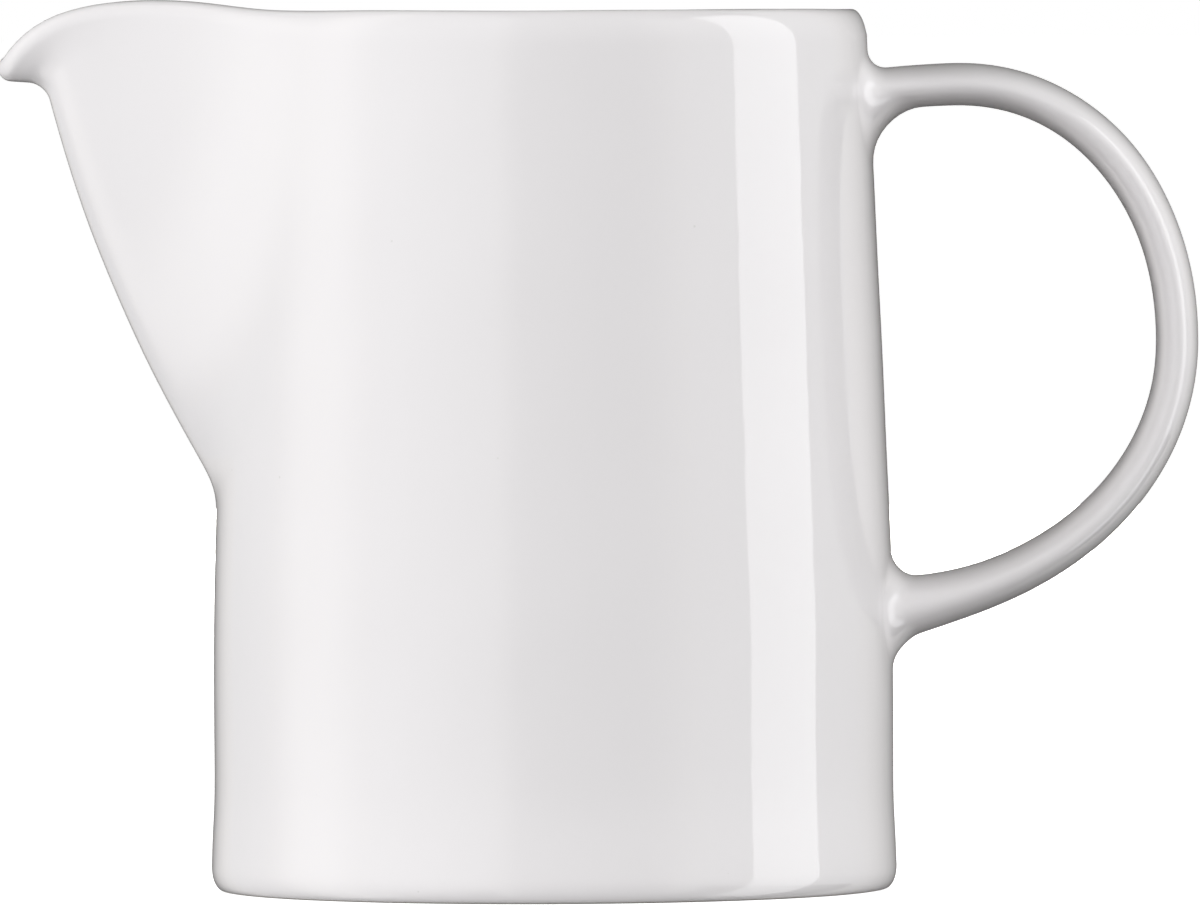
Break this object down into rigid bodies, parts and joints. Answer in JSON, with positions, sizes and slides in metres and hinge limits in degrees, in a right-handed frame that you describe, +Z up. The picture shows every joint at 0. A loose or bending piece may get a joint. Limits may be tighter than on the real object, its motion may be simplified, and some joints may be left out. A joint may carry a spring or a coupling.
{
  "type": "milk jug",
  "caption": "Small white porcelain jug with a straight body that narrows to the rim, a long pouring spout and an ear-shaped strap handle.",
  "frame": {"origin": "on the body's axis, at the standing plane", "axes": "+Z up through the open top, +X towards the handle, -X towards the spout"},
  "size_m": [0.1336, 0.0764, 0.0992],
  "materials": {
    "glaze": "clear gloss glaze over white porcelain"
  },
  "bodies": {
    "root": {"jug": "glaze"}
  },
  "joints": []
}
